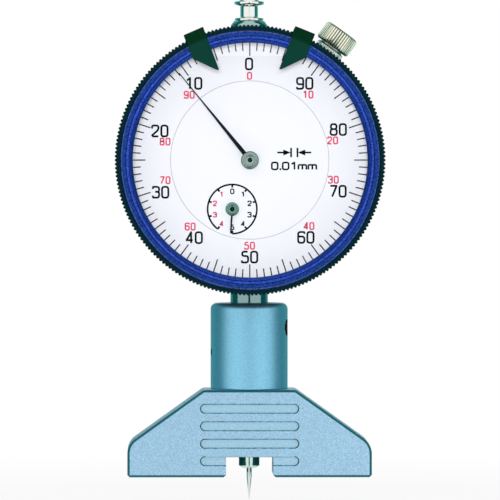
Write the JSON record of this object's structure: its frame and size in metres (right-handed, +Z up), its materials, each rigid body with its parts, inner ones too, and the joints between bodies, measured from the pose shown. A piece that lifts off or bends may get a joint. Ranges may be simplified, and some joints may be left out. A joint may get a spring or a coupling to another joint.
{
  "type": "dial depth gauge",
  "caption": "Dial depth gauge: notched flat base, needle on a sprung spindle, turning serrated bezel, two limit hands and a clamp screw.",
  "frame": {"origin": "on the spindle's axis, in the plane of the base's measuring face", "axes": "+X to the right of the dial, +Y to the back of the gauge, +Z up along the spindle"},
  "size_m": [0.057, 0.0256, 0.1067],
  "materials": {
    "satin_base": "satin",
    "satin_sleeve": "satin",
    "polished_steel": "polished",
    "dark_steel": "satin",
    "screw_steel": "satin",
    "bearing_bronze": "satin",
    "gear_brass": "satin",
    "case_black": "satin",
    "cover_metal": "satin",
    "bezel_black": "satin",
    "band_blue": "satin",
    "crystal": "gloss",
    "dial_white": "satin",
    "hand_black": "satin",
    "limit_green": "satin",
    "knob_nickel": "satin",
    "spring_steel": "satin"
  },
  "bodies": {
    "gauge_body": {"base": "satin_base", "sleeve": "satin_sleeve", "sleeve_set_screw": "dark_steel", "sleeve_dowel": "dark_steel", "stem": "polished_steel", "lower_bush": "bearing_bronze", "case": "case_black", "back_cover": "cover_metal", "back_cover_screws": "screw_steel", "top_bush": "polished_steel", "inner_dial": "dial_white", "movement_plate": "gear_brass", "movement_screws": "screw_steel", "pinion_bridge": "gear_brass", "bridge_screws": "screw_steel", "pivot_bushes": "bearing_bronze", "hairspring": "spring_steel", "hairspring_stud": "screw_steel", "guide_plate": "gear_brass", "spring_anchor": "screw_steel", "return_spring": "spring_steel", "bezel_retainer": "spring_steel", "clamp_shoe": "knob_nickel"},
    "bezel_body": {"bezel": "bezel_black", "bezel_band": "band_blue", "crystal": "crystal", "scale_ring": "dial_white"},
    "limit_left_body": {"limit_hand_left": "limit_green"},
    "limit_right_body": {"limit_hand_right": "limit_green"},
    "clamp_body": {"clamp_screw": "knob_nickel"},
    "spindle_body": {"spindle": "polished_steel", "lifting_cap": "polished_steel", "guide_pin": "dark_steel", "contact_holder": "polished_steel", "contact_needle": "polished_steel"},
    "counter_body": {"rack_pinion": "gear_brass", "drive_wheel": "gear_brass", "small_pointer": "hand_black"},
    "centre_body": {"centre_pinion": "gear_brass", "main_pointer": "hand_black"},
    "takeup_body": {"takeup_wheel": "gear_brass", "takeup_arbor": "polished_steel"}
  },
  "joints": [
    {"name": "spindle_slide", "type": "slide", "parent": "gauge_body", "child": "spindle_body", "axis": [0, 0, 1], "range_m": [0, 0.0103], "stiffness_N_per_m": 50, "springref_m": -0.016, "deforming": ["return_spring"]},
    {"name": "counter_spin", "type": "hinge", "parent": "gauge_body", "child": "counter_body", "pos_m": [-0.00371, 0, 0.05684], "axis": [0, 1, 0], "range_deg": [-375, 5]},
    {"name": "centre_spin", "type": "hinge", "parent": "gauge_body", "child": "centre_body", "pos_m": [0, 0, 0.0672], "axis": [0, 1, 0], "range_deg": [-20, 3730]},
    {"name": "takeup_spin", "type": "hinge", "parent": "gauge_body", "child": "takeup_body", "pos_m": [0.00909, 0, 0.0734], "axis": [0, 1, 0], "range_deg": [-375, 5]},
    {"name": "bezel_turn", "type": "hinge", "parent": "gauge_body", "child": "bezel_body", "pos_m": [0, 0, 0.0672], "axis": [0, 1, 0], "continuous": true},
    {"name": "limit_left_turn", "type": "hinge", "parent": "bezel_body", "child": "limit_left_body", "pos_m": [0, 0, 0.0672], "axis": [0, 1, 0], "range_deg": [-140, 18]},
    {"name": "limit_right_turn", "type": "hinge", "parent": "bezel_body", "child": "limit_right_body", "pos_m": [0, 0, 0.0672], "axis": [0, 1, 0], "range_deg": [-17, 140]},
    {"name": "clamp_turn", "type": "hinge", "parent": "gauge_body", "child": "clamp_body", "pos_m": [0.01746, -0.003, 0.09123], "axis": [0.5878, 0, 0.809], "range_deg": [-45, 315]}
  ],
  "couplings": [
    {"joint": "counter_spin", "follows": "spindle_slide", "rad_per_m": -628.32},
    {"joint": "centre_spin", "follows": "spindle_slide", "rad_per_m": 6283.2},
    {"joint": "takeup_spin", "follows": "spindle_slide", "rad_per_m": -628.32}
  ]
}
